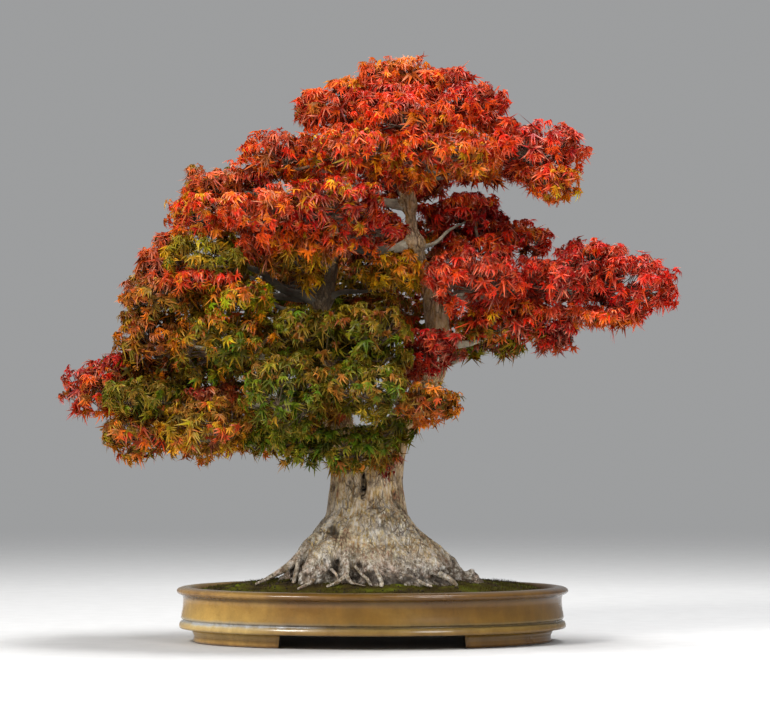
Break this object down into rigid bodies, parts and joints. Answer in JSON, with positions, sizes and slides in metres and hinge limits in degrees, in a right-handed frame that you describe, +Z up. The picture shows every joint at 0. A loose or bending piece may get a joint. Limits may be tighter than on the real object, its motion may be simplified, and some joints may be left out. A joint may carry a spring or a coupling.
{
  "type": "maple bonsai",
  "caption": "Small maple tree in autumn colours with tiers of lobed leaves, a pale flared trunk with surface roots, and a shallow oval glazed pot on bracket feet.",
  "frame": {"origin": "on the surface that the pot's feet stand on, under the middle of the pot", "axes": "+Z up; +X to the right of the tree's front, along the pot's length; the front faces -Y"},
  "size_m": [0.8121, 0.5083, 0.744],
  "materials": {
    "pot_glaze": "glossy ochre glaze, thin and brown on the edges, blue-grey where it pools",
    "screen_plastic": "black plastic mesh",
    "wire": "soft drawn wire",
    "soil": "damp granular soil",
    "moss": "short velvety moss",
    "bark": "pale bark with fine vertical fissures",
    "leaf_scarlet": "satin leaf",
    "leaf_crimson": "satin leaf",
    "leaf_orange": "satin leaf",
    "leaf_coral": "satin leaf",
    "leaf_gold": "satin leaf",
    "leaf_olive": "satin leaf",
    "leaf_green": "satin leaf",
    "leaf_bronze": "satin leaf"
  },
  "bodies": {
    "root": {"pot": "pot_glaze", "drain_screen_left": "screen_plastic", "drain_screen_right": "screen_plastic", "anchor_wire_left": "wire", "anchor_wire_right": "wire", "soil": "soil", "moss": "moss", "wood": "bark", "pad_apex_top": "leaf_orange", "pad_apex_right": "leaf_scarlet", "pad_apex_left": "leaf_coral", "pad_apex_back": "leaf_scarlet", "pad_upper_left": "leaf_orange", "pad_upper_front": "leaf_orange", "pad_upper_right": "leaf_scarlet", "pad_upper_back": "leaf_scarlet", "pad_upper_back_right": "leaf_scarlet", "pad_third_left": "leaf_coral", "pad_third_front": "leaf_scarlet", "pad_third_gold": "leaf_gold", "pad_third_back": "leaf_scarlet", "pad_fourth_olive": "leaf_olive", "pad_fourth_edge": "leaf_coral", "pad_fourth_inner": "leaf_gold", "pad_fourth_back": "leaf_olive", "pad_fifth_left": "leaf_bronze", "pad_fifth_mid": "leaf_bronze", "pad_fifth_back": "leaf_bronze", "pad_sixth_tip": "leaf_coral", "pad_sixth_left": "leaf_green", "pad_sixth_hump": "leaf_green", "pad_sixth_mid": "leaf_olive", "pad_sixth_back": "leaf_olive", "pad_bottom_left": "leaf_bronze", "pad_bottom_right": "leaf_green", "pad_bottom_back": "leaf_bronze", "pad_right_inner": "leaf_crimson", "pad_centre_gold": "leaf_gold", "pad_right_tier": "leaf_scarlet", "pad_right_low": "leaf_crimson", "pad_right_low_inner": "leaf_crimson", "pad_right_back": "leaf_scarlet", "pad_right_back_low": "leaf_olive"}
  },
  "joints": []
}
